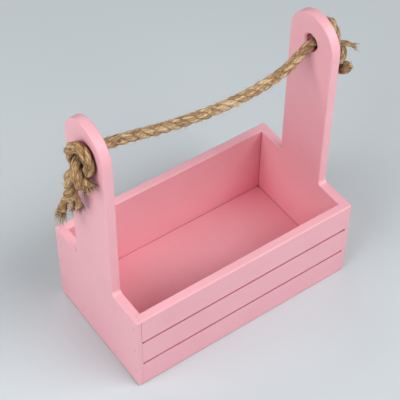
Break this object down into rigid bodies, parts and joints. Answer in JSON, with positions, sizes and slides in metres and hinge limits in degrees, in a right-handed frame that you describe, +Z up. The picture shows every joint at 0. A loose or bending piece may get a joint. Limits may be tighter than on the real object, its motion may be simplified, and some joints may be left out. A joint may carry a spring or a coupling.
{
  "type": "carry box",
  "caption": "Open painted wooden carry box with round-topped end boards, grooved side boards and a knotted rope handle.",
  "frame": {"origin": "on the ground, under the middle of the wooden box", "axes": "+X along the box towards the right end board, -Y towards the front board, +Z up"},
  "size_m": [0.2926, 0.141, 0.288],
  "materials": {
    "painted_board": "satin pink paint",
    "brad_steel": "bright drawn wire",
    "jute_rope": "natural twisted fibre"
  },
  "bodies": {
    "box": {"left_end_board": "painted_board", "right_end_board": "painted_board", "front_board": "painted_board", "back_board": "painted_board", "floor_board": "painted_board", "corner_brad_left_front_1": "brad_steel", "corner_brad_left_front_2": "brad_steel", "corner_brad_left_front_3": "brad_steel", "corner_brad_left_back_1": "brad_steel", "corner_brad_left_back_2": "brad_steel", "corner_brad_left_back_3": "brad_steel", "corner_brad_right_front_1": "brad_steel", "corner_brad_right_front_2": "brad_steel", "corner_brad_right_front_3": "brad_steel", "corner_brad_right_back_1": "brad_steel", "corner_brad_right_back_2": "brad_steel", "corner_brad_right_back_3": "brad_steel", "floor_brad_left_1": "brad_steel", "floor_brad_left_2": "brad_steel", "floor_brad_right_1": "brad_steel", "floor_brad_right_2": "brad_steel", "floor_brad_front_1": "brad_steel", "floor_brad_front_2": "brad_steel", "floor_brad_front_3": "brad_steel", "floor_brad_back_1": "brad_steel", "floor_brad_back_2": "brad_steel", "floor_brad_back_3": "brad_steel", "left_knot": "jute_rope", "right_knot": "jute_rope", "left_tail": "jute_rope", "right_tail": "jute_rope"},
    "handle": {"rope_span": "jute_rope"}
  },
  "joints": [
    {"name": "handle_swing", "type": "hinge", "parent": "box", "child": "handle", "pos_m": [0, 0, 0.258], "axis": [1, 0, 0], "range_deg": [-180, 180]}
  ]
}
